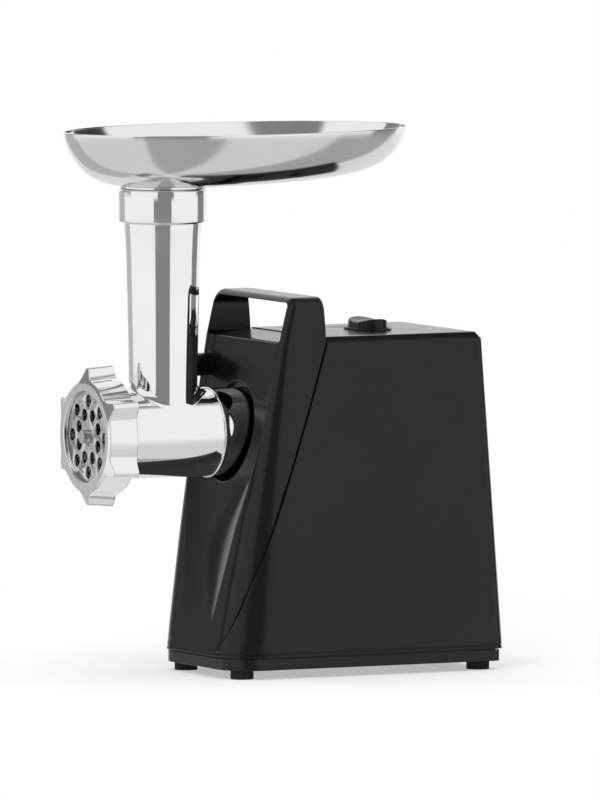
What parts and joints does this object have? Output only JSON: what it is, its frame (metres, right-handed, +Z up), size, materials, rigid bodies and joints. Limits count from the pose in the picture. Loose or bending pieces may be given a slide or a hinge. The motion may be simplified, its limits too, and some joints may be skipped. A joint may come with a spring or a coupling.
{
  "type": "electric meat grinder",
  "caption": "Countertop electric meat grinder: black tapered housing with carrying handle, polished grinding head with lobed ring nut and hole plate, feed tube and oval lift-off tray.",
  "frame": {"origin": "on the surface it stands on, below the middle of the whole object's box", "axes": "+Z up, the grinding axis along Y with the outlet towards -Y, +X across the housing"},
  "size_m": [0.142, 0.288, 0.3545],
  "materials": {
    "black_plastic": "fine matte moulded",
    "switch_plastic": "semi-gloss moulded",
    "polished_metal": "mirror polished",
    "tray_steel": "mirror polished sheet",
    "cutting_steel": "ground",
    "cast_aluminium": "as cast",
    "rubber": "matte",
    "steel": "bright drawn",
    "gear_nylon": "moulded",
    "bronze": "sintered",
    "laminations": "stacked sheet",
    "copper": "varnished wire",
    "carbon": "pressed",
    "holder_plastic": "moulded"
  },
  "bodies": {
    "housing": {"rear_housing": "black_plastic", "front_cover": "black_plastic", "base_plate": "black_plastic", "base_screws": "steel", "head_socket": "black_plastic", "cord_gland": "black_plastic", "switch_bezel": "switch_plastic", "switch_body": "switch_plastic", "lock_guide": "black_plastic", "lock_spring": "steel", "gearbox_case": "gear_nylon", "gearbox_cover": "cast_aluminium", "gearbox_screws": "steel", "front_bushing": "bronze", "rear_bushing": "bronze", "intermediate_axle": "steel", "motor_bracket_front": "cast_aluminium", "motor_bracket_rear": "cast_aluminium", "motor_bearing_front": "steel", "motor_bearing_rear": "steel", "motor_bolts": "steel", "stator_core": "laminations", "field_coil_upper": "copper", "field_coil_lower": "copper", "brush_holder_left": "holder_plastic", "brush_holder_right": "holder_plastic", "carbon_brush_left": "carbon", "carbon_brush_right": "carbon", "foot_front_left": "rubber", "foot_front_right": "rubber", "foot_rear_left": "rubber", "foot_rear_right": "rubber"},
    "rotor": {"motor_shaft": "steel", "motor_pinion": "steel", "armature_core": "laminations", "armature_winding": "copper", "commutator": "copper", "cooling_fan": "holder_plastic"},
    "intermediate": {"intermediate_gear": "gear_nylon", "intermediate_pinion": "steel"},
    "drive": {"output_gear": "gear_nylon", "output_shaft": "steel", "auger": "cast_aluminium", "auger_washer": "gear_nylon", "knife": "cutting_steel"},
    "head": {"grinder_head": "polished_metal", "hole_plate": "cutting_steel", "plate_key": "cutting_steel"},
    "nut": {"ring_nut": "polished_metal"},
    "hopper": {"hopper_tray": "tray_steel", "tray_spout": "tray_steel"},
    "switch": {"rocker": "switch_plastic"},
    "lock": {"lock_button": "black_plastic"}
  },
  "joints": [
    {"name": "rotor_spin", "type": "hinge", "parent": "housing", "child": "rotor", "pos_m": [0, 0.083, 0.0707], "axis": [0, 1, 0], "continuous": true},
    {"name": "intermediate_spin", "type": "hinge", "parent": "housing", "child": "intermediate", "pos_m": [0, 0.02, 0.1067], "axis": [0, 1, 0], "continuous": true},
    {"name": "drive_spin", "type": "hinge", "parent": "housing", "child": "drive", "pos_m": [0, 0, 0.1577], "axis": [0, 1, 0], "continuous": true},
    {"name": "head_twist", "type": "hinge", "parent": "housing", "child": "head", "pos_m": [0, -0.015, 0.1577], "axis": [0, 1, 0], "range_deg": [0, 45]},
    {"name": "nut_turn", "type": "hinge", "parent": "head", "child": "nut", "pos_m": [0, -0.124, 0.1577], "axis": [0, 1, 0], "range_deg": [0, 540]},
    {"name": "tray_lift", "type": "slide", "parent": "head", "child": "hopper", "axis": [0, 0, 1], "range_m": [0, 0.04]},
    {"name": "rocker_tilt", "type": "hinge", "parent": "housing", "child": "switch", "pos_m": [0, 0.072, 0.217], "axis": [0, 1, 0], "range_deg": [-11, 11]},
    {"name": "lock_press", "type": "slide", "parent": "housing", "child": "lock", "axis": [0, 1, 0], "range_m": [0, 0.006], "stiffness_N_per_m": 400, "springref_m": -0.004, "deforming": ["lock_spring"]}
  ],
  "couplings": [
    {"joint": "intermediate_spin", "follows": "rotor_spin", "ratio": -0.14286},
    {"joint": "drive_spin", "follows": "rotor_spin", "ratio": 0.024631}
  ]
}
